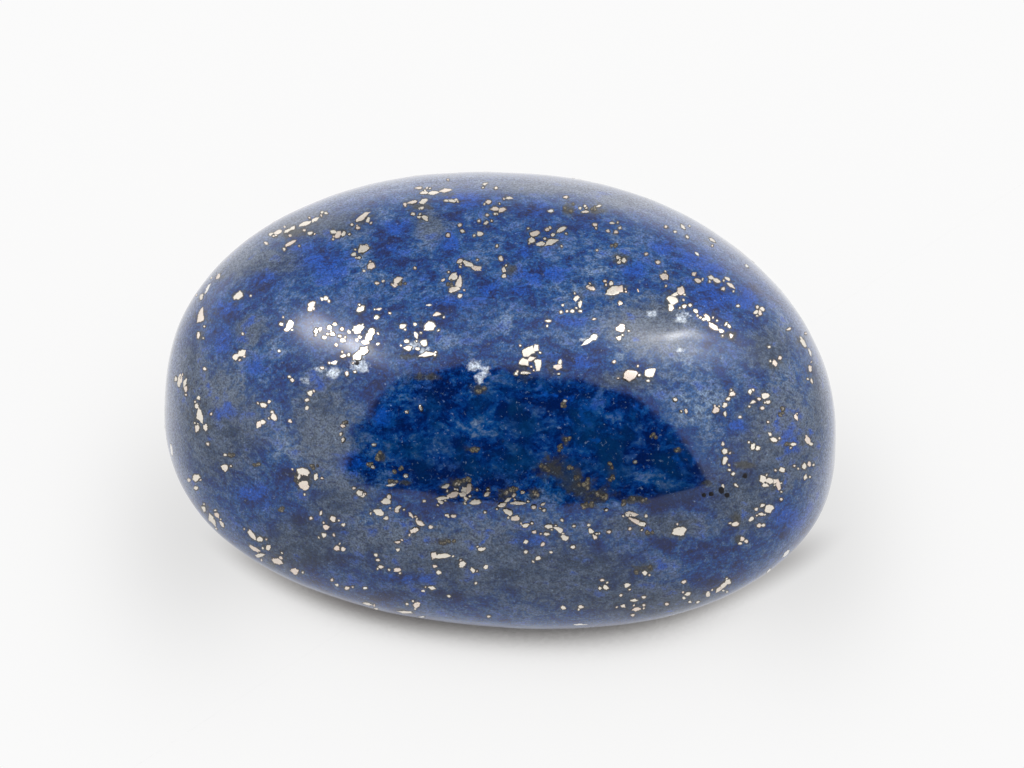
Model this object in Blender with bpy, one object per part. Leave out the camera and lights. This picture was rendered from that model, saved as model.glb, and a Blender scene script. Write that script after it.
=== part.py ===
"""A tumbled pebble of lapis lazuli: one solid stone, worn smooth and round all over.

Metres, +Z up. +X runs along the stone's length, from its blunt end to its fuller end, and -Y is its broad
front. The origin is the centre of the stone's bounding box in X and Y, on the surface that it rests on.
"""

import math

import bmesh
import bpy
from mathutils import Vector

MM = 0.001

# The stone is a rough lump whose broken sides were worn down by tumbling. Each side is a soft plane, given by
# the way it faces, as degrees round from +X and degrees up, and by its distance from the core in millimetres.
# A side that lies further out than its neighbours only trims the roundness between them.
WORN_SIDES = {
    "fuller_end": (0, 0, 14.7),
    "blunt_end": (180, 0, 18.0),
    "front": (-90, 0, 11.0),
    "back": (90, 0, 13.8),
    "top": (0, 90, 9.3),
    "underside": (0, -90, 7.4),
    "back_fuller_corner": (55, 15, 14.2),
    "back_blunt_corner": (127, 14, 16.5),
    "front_fuller_corner": (-58, -19, 19.6),
    "front_blunt_corner": (-128, -7, 15.2),
    "front_shoulder": (-100, 38, 9.3),
}
# How tightly the sides meet: 2 would round them into an ellipsoid, and a high number would leave sharp edges.
TIGHTNESS = 2.6

# The stone stands on a spot that is worn flat. It is as deep as the slice that is missing from the roundness.
FLAT_SPOT_DEPTH = 0.07 * MM

# Each step makes every triangle of a 20-sided ball into four, so 5 steps in all give 5120.
BALL_STEPS = 5

# The finish, from the photograph: a deep greyed blue with a gloss polish.
STONE_BLUE = (0.035, 0.09, 0.24, 1.0)
STONE_ROUGHNESS = 0.15


def clear_scene():
    """Removes whatever the opened file holds."""
    for old in list(bpy.data.objects):
        bpy.data.objects.remove(old, do_unlink=True)


def facing(around, up):
    """The unit vector that points this many degrees round from +X, and this many degrees up."""
    around = math.radians(around)
    up = math.radians(up)
    return Vector((math.cos(up) * math.cos(around), math.cos(up) * math.sin(around), math.sin(up)))


def worn_surface(direction):
    """The point of the worn surface in this unit direction from the core, in metres.

    A side pushes in by how squarely the direction faces it over its distance. The pushes are added with a
    high power, so that near the middle of a side one of them rules, and between sides they blend.
    """
    push = 0.0
    for around, up, distance in WORN_SIDES.values():
        squareness = direction.dot(facing(around, up))
        if squareness > 0:
            push += (squareness / (distance * MM)) ** TIGHTNESS
    return direction * push ** (-1 / TIGHTNESS)


def cut_flat_spot(mesh):
    """Slices off the lowest part of the stone and closes the slice with a flat face."""
    lowest = min(vert.co.z for vert in mesh.verts)
    everything = mesh.verts[:] + mesh.edges[:] + mesh.faces[:]
    cut = bmesh.ops.bisect_plane(
        mesh,
        geom=everything,
        plane_co=(0, 0, lowest + FLAT_SPOT_DEPTH),
        plane_no=(0, 0, -1),
        clear_outer=True,
    )
    rim = [item for item in cut["geom_cut"] if isinstance(item, bmesh.types.BMEdge)]
    bmesh.ops.contextual_create(mesh, geom=rim)


def stand_at_origin(mesh):
    """Moves the stone so that the middle of its bounding box's underside is the origin."""
    points = [vert.co for vert in mesh.verts]
    middle = [(min(p[axis] for p in points) + max(p[axis] for p in points)) / 2 for axis in (0, 1)]
    lowest = min(p.z for p in points)
    bmesh.ops.translate(mesh, verts=mesh.verts, vec=(-middle[0], -middle[1], -lowest))


def stone_mesh():
    """The closed surface of the whole stone."""
    mesh = bmesh.new()
    bmesh.ops.create_icosphere(mesh, subdivisions=BALL_STEPS, radius=1.0)
    for vert in mesh.verts:
        vert.co = worn_surface(vert.co.normalized())
    cut_flat_spot(mesh)
    stand_at_origin(mesh)
    bmesh.ops.recalc_face_normals(mesh, faces=mesh.faces)
    data = bpy.data.meshes.new("lapis_stone")
    mesh.to_mesh(data)
    mesh.free()
    return data


def stone_material():
    """Polished lapis in one even colour."""
    material = bpy.data.materials.new("polished_lapis")
    material.use_nodes = True
    shader = material.node_tree.nodes["Principled BSDF"]
    shader.inputs["Base Color"].default_value = STONE_BLUE
    shader.inputs["Roughness"].default_value = STONE_ROUGHNESS
    shader.inputs["Metallic"].default_value = 0.0
    return material


def build_stone():
    """The stone as one object in a collection of its own."""
    data = stone_mesh()
    data.materials.append(stone_material())
    data.shade_smooth()
    stone = bpy.data.objects.new("lapis_stone", data)
    collection = bpy.data.collections.new("tumbled_lapis_pebble")
    bpy.context.scene.collection.children.link(collection)
    collection.objects.link(stone)


clear_scene()
build_stone()
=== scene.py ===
# %% [markdown]
# # A tumbled pebble of lapis lazuli
# The real object is a single stone, worn smooth in a tumbler and polished. Lapis is a rock and not one mineral:
# deep blue lazurite, grey and white calcite, and grains of pyrite that shine like pale gold. This lesson dresses
# the plain solid from the frame. It gives the stone a fine skin with the same worn sides, paints the minerals
# with nodes, sets the pyrite grains into the surface as small closed meshes, and lights it as a product picture.

# %% Load the frame
import math

import bmesh
import bpy
import numpy as np
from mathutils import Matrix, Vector


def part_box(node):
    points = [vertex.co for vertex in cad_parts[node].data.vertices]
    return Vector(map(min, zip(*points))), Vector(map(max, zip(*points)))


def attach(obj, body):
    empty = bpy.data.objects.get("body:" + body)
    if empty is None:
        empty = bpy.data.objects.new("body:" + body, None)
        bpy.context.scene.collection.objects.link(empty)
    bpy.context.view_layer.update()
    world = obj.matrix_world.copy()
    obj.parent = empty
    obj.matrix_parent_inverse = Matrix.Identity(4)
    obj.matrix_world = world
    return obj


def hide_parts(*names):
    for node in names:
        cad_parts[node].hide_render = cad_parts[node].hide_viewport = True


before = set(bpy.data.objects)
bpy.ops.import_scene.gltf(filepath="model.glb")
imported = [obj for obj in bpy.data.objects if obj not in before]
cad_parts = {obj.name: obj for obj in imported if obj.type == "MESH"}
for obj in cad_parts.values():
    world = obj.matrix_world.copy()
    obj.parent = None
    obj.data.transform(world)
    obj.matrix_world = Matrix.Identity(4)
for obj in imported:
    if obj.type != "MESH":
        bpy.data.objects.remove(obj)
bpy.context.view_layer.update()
MM = 0.001
print("frame nodes:", sorted(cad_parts))

# %% [markdown]
# ## The camera
# The picture was taken from 40 degrees above the table, with a long lens from some way off, so the stone is
# hardly distorted. The camera comes first, because later cells place grains and patches by where they are seen
# in the picture. Its lens follows from how much of the table fits across the picture at the stone.

# %% Camera
PICTURE_WIDTH = 1024
PICTURE_HEIGHT = 768
SENSOR_WIDTH = 36.0
CAMERA_RISE = math.radians(40)
CAMERA_DISTANCE = 300 * MM
WIDTH_SEEN = 42.5 * MM
LOOKED_AT = np.array([0.56, -1.22, 8.98]) * MM

TO_CAMERA = np.array([0, -math.cos(CAMERA_RISE), math.sin(CAMERA_RISE)])
PICTURE_RIGHT = np.array([1.0, 0.0, 0.0])
PICTURE_UP = np.array([0, math.sin(CAMERA_RISE), math.cos(CAMERA_RISE)])
CAMERA_PLACE = LOOKED_AT + CAMERA_DISTANCE * TO_CAMERA
FOCAL_PIXELS = PICTURE_WIDTH * CAMERA_DISTANCE / WIDTH_SEEN

camera_data = bpy.data.cameras.new("camera")
camera_data.sensor_width = SENSOR_WIDTH
camera_data.lens = SENSOR_WIDTH * CAMERA_DISTANCE / WIDTH_SEEN
camera_data.clip_start = 0.01
camera = bpy.data.objects.new("camera", camera_data)
camera.location = Vector(CAMERA_PLACE)
camera.rotation_euler = (math.radians(90) - CAMERA_RISE, 0, 0)
bpy.context.scene.collection.objects.link(camera)
bpy.context.scene.camera = camera
bpy.context.scene.view_settings.view_transform = "Standard"
print(f"camera: {camera_data.lens:.0f} mm lens, {FOCAL_PIXELS * MM / CAMERA_DISTANCE:.1f} pixels to a millimetre")

# %% [markdown]
# ## The worn sides
# The stone is the same soft-edged lump as the solid in the frame, so it is given by the same few sides: the way
# each faces, as degrees round from +X and degrees up, and its distance from the core in millimetres. Writing the
# surface as a formula, and not reading it from a mesh, lets any cell ask where it is and which way it faces.

# %% Worn sides
WORN_SIDES = {
    "fuller_end": (0, 0, 14.7),
    "blunt_end": (180, 0, 18.0),
    "front": (-90, 0, 11.0),
    "back": (90, 0, 13.8),
    "top": (0, 90, 9.3),
    "underside": (0, -90, 7.4),
    "back_fuller_corner": (55, 15, 14.2),
    "back_blunt_corner": (127, 14, 16.5),
    "front_fuller_corner": (-58, -19, 19.6),
    "front_blunt_corner": (-128, -7, 15.2),
    "front_shoulder": (-100, 38, 9.3),
}
TIGHTNESS = 2.6
FLAT_SPOT_DEPTH = 0.07 * MM


def facing(around, up):
    """The unit vector that points this many degrees round from +X, and this many degrees up."""
    around = math.radians(around)
    up = math.radians(up)
    return np.array([math.cos(up) * math.cos(around), math.cos(up) * math.sin(around), math.sin(up)])


SIDE_FACINGS = np.array([facing(around, up) for around, up, distance in WORN_SIDES.values()])
SIDE_DISTANCES = np.array([distance * MM for around, up, distance in WORN_SIDES.values()])


def reach(points):
    """1 for points on the worn surface, less for points inside it and more outside it."""
    squareness = np.maximum(points @ SIDE_FACINGS.T, 0) / SIDE_DISTANCES
    return (squareness**TIGHTNESS).sum(axis=-1) ** (1 / TIGHTNESS)


def outward(points):
    """The unit vectors that stand square on the worn surface at these points."""
    squareness = np.maximum(points @ SIDE_FACINGS.T, 0) / SIDE_DISTANCES
    lean = (squareness ** (TIGHTNESS - 1) / SIDE_DISTANCES) @ SIDE_FACINGS
    return lean / np.linalg.norm(lean, axis=-1, keepdims=True)


def onto_surface(points):
    """Points moved straight out from the core, or in towards it, until they lie on the worn surface."""
    return points / reach(points)[..., None]


# %% [markdown]
# ## Hardness and hollows
# Tumbling never leaves a true curve. Harder and softer minerals wear at different rates, so the polish rolls by a
# few thousandths of a millimetre, and that is what makes the edges of a reflection waver. A handful of waves in
# random directions gives such a roll. It is part of the shape, because bump alone would not show on the outline.

# %% Roll of the polished surface
ROLL_WAVES = 40
ROLL_LENGTHS = (1.3 * MM, 6.0 * MM)
ROLL_SLOPE = 0.0032

roll_dice = np.random.default_rng(7)
roll_headings = roll_dice.normal(size=(ROLL_WAVES, 3))
roll_headings /= np.linalg.norm(roll_headings, axis=1, keepdims=True)
roll_lengths = np.geomspace(*ROLL_LENGTHS, ROLL_WAVES)
roll_starts = roll_dice.uniform(0, 2 * math.pi, ROLL_WAVES)


def roll(points):
    """How far the polished surface stands out here, in metres. Every wave is equally steep."""
    turns = points @ (roll_headings * 2 * math.pi / roll_lengths[:, None]).T + roll_starts
    return (np.sin(turns) * roll_lengths).sum(axis=-1) * ROLL_SLOPE / (2 * math.pi)


def skin(points):
    """Points moved onto the polished surface, with its roll."""
    points = onto_surface(points)
    return points + outward(points) * roll(points)[..., None]


# %% [markdown]
# ## The stone's skin
# A ball whose grid comes from a cube has no poles, where long thin faces would show in a mirror-like polish. Each
# side of the cube gets a square grid, bent so that its steps are equal angles, stretched to the stone's
# proportions and laid onto the worn surface. The underside is then pressed flat where the stone rests.

# %% Stone skin
GRID_STEPS = 128


def grid_ball(steps):
    """A cube whose six sides are grids with this many steps."""
    mesh = bmesh.new()
    bmesh.ops.create_cube(mesh, size=2)
    bmesh.ops.subdivide_edges(mesh, edges=mesh.edges[:], cuts=steps - 1, use_grid_fill=True)
    data = bpy.data.meshes.new("lapis_skin")
    mesh.to_mesh(data)
    mesh.free()
    return data


def read_points(data):
    """The places of a mesh's points, one to a row."""
    points = np.empty(len(data.vertices) * 3)
    data.vertices.foreach_get("co", points)
    return points.reshape(-1, 3)


cad_low, cad_high = (np.array(corner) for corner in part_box("lapis_stone"))
skin_mesh = grid_ball(GRID_STEPS)
skin_points = np.tan(read_points(skin_mesh) * math.pi / 4) * (cad_high - cad_low)
skin_points = skin(skin_points)
flat_level = skin_points[:, 2].min() + FLAT_SPOT_DEPTH
skin_points[:, 2] = np.maximum(skin_points[:, 2], flat_level)
skin_middle = (skin_points.min(axis=0) + skin_points.max(axis=0)) / 2
cad_middle = (cad_low + cad_high) / 2
CORE = np.array([cad_middle[0] - skin_middle[0], cad_middle[1] - skin_middle[1], -flat_level])
skin_mesh.vertices.foreach_set("co", (skin_points + CORE).ravel())
skin_mesh.shade_smooth()
skin_mesh.update()
stone = bpy.data.objects.new("lapis_stone_skin", skin_mesh)
bpy.context.scene.collection.objects.link(stone)
print("stone skin:", len(skin_mesh.polygons), "faces; the core is at", np.round(CORE / MM, 2), "mm")

# %% [markdown]
# ## From the picture to the stone
# Patches and grains are named by where they are in the picture. A line from the camera through that place meets
# the stone at one point. The surface is a soft convex lump, so stepping along the line by the slope of the reach
# closes in on that point from outside within a few steps.

# %% Where a line of sight meets the stone
SIGHT_STEPS = 12
SIGHT_START = CAMERA_DISTANCE - 20 * MM
LONGEST_STEP = 2 * MM
# Where a line only grazes the stone, the slope counts as this much, so that a step never leaps away.
LEAST_SLOPE = -1.0


def on_stone(across, down):
    """Core-centred points of the worn surface that are seen at these places of the picture."""
    across, down = np.broadcast_arrays(np.asarray(across, float), np.asarray(down, float))
    sights = (
        np.multiply.outer((across - PICTURE_WIDTH / 2) / FOCAL_PIXELS, PICTURE_RIGHT)
        + np.multiply.outer((PICTURE_HEIGHT / 2 - down) / FOCAL_PIXELS, PICTURE_UP)
        - TO_CAMERA
    )
    start = CAMERA_PLACE - CORE
    gone = np.full(across.shape, SIGHT_START)
    for step in range(SIGHT_STEPS):
        points = start + sights * gone[..., None]
        out = reach(points)
        slope = (points / out[..., None] @ SIDE_FACINGS.T).clip(0) / SIDE_DISTANCES
        slope = ((slope ** (TIGHTNESS - 1) / SIDE_DISTANCES) @ SIDE_FACINGS * sights).sum(axis=-1)
        gone = gone + np.clip((1 - out) / np.minimum(slope, LEAST_SLOPE), -LONGEST_STEP, LONGEST_STEP)
    return onto_surface(start + sights * gone[..., None])


def in_picture(points):
    """Where core-centred points are seen in the picture, as distances across and down it."""
    from_camera = points + CORE - CAMERA_PLACE
    deep_and_shade = -from_camera @ TO_CAMERA
    across = PICTURE_WIDTH / 2 + FOCAL_PIXELS * (from_camera @ PICTURE_RIGHT) / deep_and_shade
    down = PICTURE_HEIGHT / 2 - FOCAL_PIXELS * (from_camera @ PICTURE_UP) / deep_and_shade
    return across, down


test_points = on_stone([300, 512, 700], [400, 300, 500])
print("sight test:", [np.round(values, 1) for values in in_picture(test_points)])

# %% [markdown]
# ## Where the pyrite lies
# Pyrite is what makes lapis glitter, and each grain is a lump of real metal-bright mineral that the polish cut
# flat. The grains are real pieces in the surface and not paint, so they catch the lamps as they should. Each one is
# written down from the picture: how far across and down it is, its length and width in pixels, and how many
# degrees its length is turned up from level. One with no turn lies level, one with a length alone is two thirds as
# wide as long, and one with only a place is a crumb of 3 by 2 pixels.

# %% Grains on the left
PYRITE = {}
PYRITE["left_rim"] = [
    (218, 276, 8, 3, 55), (201, 297, 7, 3, 70), (200, 317, 16, 6, 72), (198, 335, 8, 3, 75), (180, 380, 12, 4, 85),
    (185, 383, 10, 3, 80), (176, 379, 6, 3, 85), (186, 389, 8, 3, 85), (199, 398, 4, 4), (200, 415, 17, 5, 100),
    (197, 406, 6, 3, 105), (198, 428, 8, 5, 85), (206, 427, 8, 4, 95), (211, 414, 2, 2), (208, 444, 3, 3),
    (196, 478, 8, 8), (189, 480, 4), (196, 488, 5, 3, -55), (204, 509, 8, 3, -60), (212, 520, 13, 5, -56),
    (217, 515, 8, 4, -60), (222, 524, 8, 3, -60), (252, 535, 12, 5, -52), (260, 539, 7, 6), (255, 549, 13, 3, -32),
    (268, 548, 7, 6, 60), (260, 555, 9, 4, 5), (277, 561, 13, 5, -27), (281, 558, 4, 4), (295, 571, 9, 6, -20),
]
PYRITE["left_end"] = [
    (239, 295, 11, 6, 25), (235, 298, 4), (242, 353, 8, 7, 30), (236, 357, 8, 6, 20), (243, 334, 2, 2),
    (205, 369, 3, 3), (279, 351), (289, 377), (292, 380, 4, 3, -40), (263, 405, 7), (259, 424, 6, 6),
    (263, 422, 5, 4), (274, 417, 8, 5, -60), (272, 412, 3, 3), (269, 402, 4, 3, 60), (290, 421, 5, 3, -35),
    (310, 393, 6, 6), (307, 400, 4), (307, 408, 5, 4, 70), (225, 468, 8, 7), (225, 455), (304, 472, 13, 8, -12),
    (304, 486, 12, 10, 5), (316, 477, 7, 4, 75), (299, 477, 6, 3, 60), (311, 518, 3, 3), (343, 426, 5, 3, -20),
    (341, 434, 4, 3, 60), (343, 440, 5, 3, 75),
]
PYRITE["left_highlight"] = [
    (281, 324, 4, 4), (290, 324, 12, 5, 62), (287, 329, 6, 4, 20), (312, 305, 8, 6, 40), (310, 309, 5, 4),
    (322, 299, 3, 3), (326, 298, 5, 4), (329, 301), (316, 331, 6, 4, 65), (320, 329, 5, 3, 75), (329, 327, 6, 5),
    (335, 324, 5), (342, 329, 4), (349, 332, 4, 4), (324, 337, 5, 4), (332, 334, 6), (340, 336, 4), (343, 340, 6, 5),
    (336, 345, 3, 3), (343, 356, 6, 3), (349, 355, 3, 3), (357, 340, 3, 3), (358, 329, 11, 8, 28),
    (369, 337, 11, 10, 70), (372, 332, 8, 6, 80), (366, 342, 9, 5, 10), (360, 337, 4), (364, 351, 12, 9, 15),
    (357, 356, 11, 8, 62), (334, 363, 7, 4, 5), (322, 368, 4), (347, 374, 5, 4, 90), (355, 372), (378, 344),
    (360, 309, 8, 5, 20), (363, 307, 4), (377, 317, 5, 4), (379, 309, 6, 2, 8), (390, 313, 2, 2),
]
print("grains:", [len(PYRITE[place]) for place in ("left_rim", "left_end", "left_highlight")])

# %% Grains along the top
PYRITE["upper_left"] = [
    (290, 243, 11, 3, 30), (284, 249, 3, 3), (315, 219, 8, 4, 32), (305, 223, 12, 3, 20), (292, 228, 9, 3, 26),
    (287, 231, 8, 3, 25), (278, 232, 9, 3, 25), (271, 234, 6, 2, 25), (310, 233, 6), (304, 230), (290, 235),
    (266, 243, 5, 2, -30), (322, 212), (326, 213), (338, 235, 11, 5, 48), (333, 232, 7, 4, -10), (344, 234, 7, 4, 60),
    (363, 217, 16, 4, 32), (368, 220, 6, 4, 70), (352, 225), (358, 228, 4), (364, 249, 11, 9, 20),
    (366, 247, 8, 6, 70), (354, 255, 6), (359, 258, 5, 2), (371, 266, 8, 6, 30), (364, 271), (398, 280, 11, 6, 48),
    (395, 285, 5, 5), (377, 283, 4), (383, 281), (415, 268), (419, 188, 7, 2), (424, 193, 9, 3), (434, 193, 11, 3, 4),
    (445, 191, 16, 3, 7), (405, 204), (413, 202, 11, 2, 6), (424, 201, 11, 4, 22), (422, 208, 4), (446, 201, 5, 2),
    (452, 201, 8, 3, -5), (456, 200, 5, 2), (485, 184, 6, 2, 10), (496, 188), (413, 214, 4), (419, 217, 3, 3),
    (425, 218, 8, 4, -32), (489, 202, 6, 4, -20), (495, 209, 9, 3, -4), (500, 211, 5, 4), (487, 215, 4, 2),
    (495, 214), (479, 221, 3, 3), (486, 223, 7, 3, 32), (460, 225, 4), (462, 231, 5), (448, 235, 4, 4),
    (480, 234, 7, 5, 20), (497, 246, 3, 3), (460, 261, 6, 5), (468, 264, 13, 4, -30), (476, 268, 12, 4, -8),
    (453, 277, 10, 7, 15), (459, 283, 12, 6, 88), (454, 289, 12, 6, 5), (443, 280, 5, 2, 32), (460, 296, 5, 4),
    (403, 326, 7, 4, 12), (430, 327, 12, 9, 8), (415, 324, 3, 3), (437, 314, 9, 3, 12),
]
PYRITE["above_dark"] = [
    (424, 343, 9, 6, 10), (427, 354, 14, 4, 8), (416, 335, 8, 4, 100), (408, 348, 8, 5, 10), (407, 341, 5, 4),
    (435, 355, 3, 3), (418, 349, 5), (529, 351, 13, 9, 15), (536, 348, 7, 7), (524, 362, 12, 8, 5),
    (538, 364, 12, 7, 95), (531, 359, 9, 5, 20), (525, 373, 10, 3), (516, 374, 3, 3), (558, 367, 10, 6, -8),
    (560, 362, 6, 4, 80), (614, 362, 3, 3), (631, 375, 14, 11, 4), (628, 378, 9), (650, 373, 11, 11), (648, 381),
]
PYRITE["upper_right"] = [
    (502, 210, 9, 4, 30), (509, 198, 8, 2, -5), (566, 197, 5, 2), (534, 234, 10, 6, 5), (532, 240, 7),
    (541, 244, 9, 4, 5), (551, 242, 13, 5, 16), (547, 230, 5), (561, 230, 10, 4, 22), (553, 235, 4), (550, 228),
    (545, 239), (585, 212, 8, 2, 4), (580, 208), (585, 206), (599, 206, 6, 2, 15), (595, 225, 6, 3, -16),
    (612, 223, 6, 2), (608, 231, 3, 3), (616, 232, 4), (620, 228), (597, 250), (646, 254, 4), (658, 262, 4),
    (624, 260, 6, 4, 30), (618, 257, 5, 3, -20), (619, 262, 4), (664, 276, 9, 8), (591, 288, 8, 4, -10),
    (588, 287, 4, 4), (611, 283, 6, 5, -60), (614, 291, 14, 9, 12), (620, 289, 8, 7), (576, 298, 9, 4, 32),
    (580, 304, 7, 4, 80), (572, 311, 4), (580, 311, 4, 2), (563, 305, 2, 2), (567, 311, 2, 2), (561, 312),
    (501, 259, 5, 5), (504, 270, 6, 4, 80), (504, 276, 5, 4), (605, 281), (666, 227), (638, 290, 4, 1, -75),
    (620, 303, 5, 5), (548, 321, 7, 2), (594, 319, 4, 1), (621, 328, 10, 7, 5), (619, 338, 6, 5), (681, 290, 9, 9),
    (673, 300, 11, 9, 10), (674, 295, 14, 4, 30), (671, 308, 9, 6, 75), (684, 306, 5, 4), (690, 305, 4),
    (696, 311, 6, 4, -32), (707, 318, 9, 4, -50), (704, 319, 6, 3, 10), (713, 326, 13, 4, -38), (721, 331, 7, 4, -30),
    (731, 336, 5, 4, 80), (729, 326, 5, 2, -60), (726, 324, 4, 2, 50),
]
print("grains:", [len(PYRITE[place]) for place in ("upper_left", "above_dark", "upper_right")])

# %% Grains on the right
PYRITE["right_rim"] = [
    (694, 274, 5, 4), (698, 281, 7, 3, -32), (711, 278, 7, 4, -32), (717, 281, 8, 4, -28), (727, 279, 6, 3, -35),
    (731, 286, 9, 3, -38), (723, 289, 4), (683, 227, 6, 2, -52), (675, 232), (687, 237, 4, 2, -50),
    (712, 240, 9, 2, -32), (760, 313, 7, 3, -75), (756, 312, 7, 3, 22), (762, 309, 6, 3, -40), (757, 307),
    (789, 329, 5, 2, 20), (775, 363, 8, 5, 100), (780, 358, 5, 3, 80), (769, 347), (803, 342, 12, 3, -62),
    (810, 368, 8, 3, -80), (812, 381, 6, 2, -80), (732, 394, 7, 5, 10), (750, 392, 5, 3, 80), (766, 396, 9, 6, 5),
    (759, 399, 4), (728, 399, 4), (753, 390, 2, 2), (725, 405, 6, 4, 60), (716, 410, 8, 6), (725, 414, 5, 3, 80),
    (675, 400, 4), (686, 411, 6, 3, -80), (753, 402, 7, 3, 20), (762, 408, 4), (768, 402, 5, 4),
    (796, 417, 7, 3, -70), (740, 417), (768, 422, 2, 2), (774, 440, 7, 6), (770, 434, 5, 3, -70), (793, 444, 6, 3),
    (753, 447, 7, 5, 80), (758, 448, 5, 4), (808, 440, 9, 5, -60), (811, 444, 4), (725, 451, 7, 5, 10),
    (725, 461, 8, 5, 78), (723, 444, 5, 2, 85), (729, 470), (733, 474, 5, 2, 40), (736, 485, 5, 2, -50),
    (723, 486, 4, 2, -60), (782, 470, 6, 5, 60), (794, 466, 2, 2), (804, 466, 7, 4, 85), (809, 464, 6, 3, 80),
    (805, 477, 6, 3, 75), (763, 479, 9, 7, 10), (770, 481, 9, 6, -5), (775, 481, 7, 4), (778, 485, 11, 4, -80),
    (765, 485, 8, 3), (781, 499), (768, 509, 11, 7, 35), (756, 509, 4), (761, 514, 5), (762, 505, 5, 3, 20),
    (751, 519, 7, 4, 45), (759, 525, 5, 4), (763, 525, 4, 2), (736, 524, 9, 5, 5), (742, 539, 5, 4, 60),
    (746, 541, 4), (740, 543),
]
print("grains:", len(PYRITE["right_rim"]))

# %% Grains in front
PYRITE["below_dark_left"] = [
    (360, 493, 7, 5, -10), (363, 495, 5, 4), (354, 488, 3, 3), (386, 502, 9, 6, 5), (389, 497, 5, 4, 80),
    (379, 513, 10, 7, -32), (386, 518, 5, 4), (398, 508, 7, 3, 30), (397, 511, 5), (424, 501, 4),
    (411, 515, 7, 3, -60), (420, 523, 9, 4, -28), (415, 530, 9, 5, 22), (431, 527, 5, 4), (446, 486, 9, 3, 15),
    (442, 498, 13, 4, 8), (452, 495, 12, 5, 22), (465, 490, 10, 8, 15), (469, 488, 9, 5, 75), (463, 494, 8, 5, -20),
    (466, 498, 6, 3, -40), (441, 502, 7, 3, -20), (475, 502, 10, 6, -5), (487, 494, 7, 3, 32), (465, 503, 2, 2),
    (454, 516, 6, 3), (447, 515, 4, 2), (485, 512, 2, 2), (333, 519, 9, 5, -55), (326, 527, 6, 6), (343, 525, 4),
    (324, 535, 6, 5, 50), (337, 548, 6, 6), (343, 549, 5, 4), (334, 535, 4, 2, 80), (321, 513, 5, 2, 70),
    (398, 542, 6, 3), (398, 550, 4), (376, 555, 4, 3, -35), (378, 560, 4, 2), (381, 567, 6, 3), (397, 570, 7, 4),
    (389, 570, 2, 2), (441, 556, 15, 5, 3), (434, 555, 6, 7), (435, 566, 5), (439, 572, 5, 4), (462, 564, 7, 6, 20),
    (473, 570, 6, 4, -40), (486, 567, 5, 4), (482, 549, 8, 4, 5), (476, 583, 2, 2), (432, 588, 7, 3, -18), (423, 591),
    (449, 596, 5, 2), (347, 588, 6), (332, 580), (337, 585, 4, 2, -20), (368, 604, 10, 2, -14), (376, 609, 5, 2),
    (405, 612, 16, 2, -4), (416, 605, 8, 5, 22), (407, 604), (489, 616),
]
PYRITE["below_dark_middle"] = [
    (502, 505, 8, 4, 20), (508, 500, 10, 3, 42), (514, 495, 6, 3, 52), (519, 503, 14, 3), (508, 512, 11, 5, -20),
    (516, 518, 9, 6, 10), (526, 525, 8, 5, 5), (532, 523, 3, 3), (534, 507, 6, 3, 10), (523, 492, 5),
    (543, 504, 5, 2, 30), (544, 510, 4, 2), (549, 526, 10, 4, 2), (559, 530, 11, 4, -35), (565, 538, 9, 5, -32),
    (562, 520, 3, 2, -60), (574, 526), (589, 525, 3, 3), (534, 532, 5), (547, 534, 7, 3), (573, 547, 5, 4),
    (526, 542, 5, 5), (543, 544, 5, 4), (526, 552, 4, 3, -30), (538, 558, 7, 4, 15), (551, 552),
    (591, 531, 7, 4, -40), (595, 537, 6, 4, -50), (609, 532, 4), (632, 514, 12, 4, -8), (627, 515, 5, 3, -30),
    (635, 521, 11, 4, -28), (642, 524, 8, 5, -10), (646, 516, 4, 3, 80), (630, 529, 4), (679, 531, 15, 9, 5),
    (606, 510),
]
PYRITE["low_front"] = [
    (645, 573, 6, 5), (602, 580, 5, 2), (606, 587, 6, 4, -30), (600, 588, 3, 3), (627, 585, 8, 4, 10),
    (621, 595, 4, 2, 55), (634, 600, 8, 2), (644, 597, 5), (623, 606, 6, 3), (637, 609, 10, 3, 16), (644, 605),
    (633, 615, 4, 2), (563, 608, 5, 4), (581, 607, 6, 3), (684, 582, 5, 3, 20), (688, 594, 7, 3, 10), (684, 598),
    (690, 602, 4, 2), (698, 602, 4, 2, 10), (667, 604, 4), (708, 594, 7, 5, 60), (719, 589, 9, 4, 32),
    (728, 582, 8, 5, 35), (724, 585, 10, 4, 36),
]
print("grains:", [len(PYRITE[place]) for place in ("below_dark_left", "below_dark_middle", "low_front")])

# %% Tarnished grains, pale slivers that are partly painted glints, and dark grains
TARNISHED = [
    (345, 422, 5), (380, 457, 9, 7, 70), (370, 465, 4), (474, 450, 10, 3, 18), (479, 390, 9), (394, 482, 9, 4, 15),
    (400, 470, 6), (465, 479, 13, 5, 15), (457, 483, 7, 4, 30), (514, 488, 8, 4), (507, 492, 7, 4, 40),
    (535, 495, 6, 6), (542, 465, 5, 5), (548, 470, 5, 4), (566, 439, 5, 4), (569, 468, 5, 5), (560, 447, 4, 4),
    (613, 478, 5, 5), (611, 465, 5, 4), (583, 485, 9, 4, -22), (594, 492, 10, 4, -32), (604, 498, 10, 4, 10),
    (591, 504, 9, 3), (584, 507, 6, 3), (643, 500, 6, 4, 70), (625, 504, 7, 3), (633, 499, 6, 3), (565, 405, 6),
    (653, 435, 4), (678, 450, 5), (636, 571, 5, 4), (650, 567, 3, 3), (229, 455, 7, 3), (297, 481, 7, 4, 85),
    (313, 467, 5, 4), (402, 283, 5, 4), (615, 245, 5, 4), (595, 208, 6, 3, 15), (569, 209, 6, 5), (787, 444, 5),
    (782, 412, 9, 4, 80), (650, 533, 6, 3), (258, 466, 5, 4), (282, 509, 5, 4), (450, 283, 6, 5), (561, 448, 4, 4),
    (575, 477, 6, 5), (588, 480, 5), (450, 541, 6, 2), (442, 543, 5, 2),
]
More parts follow.
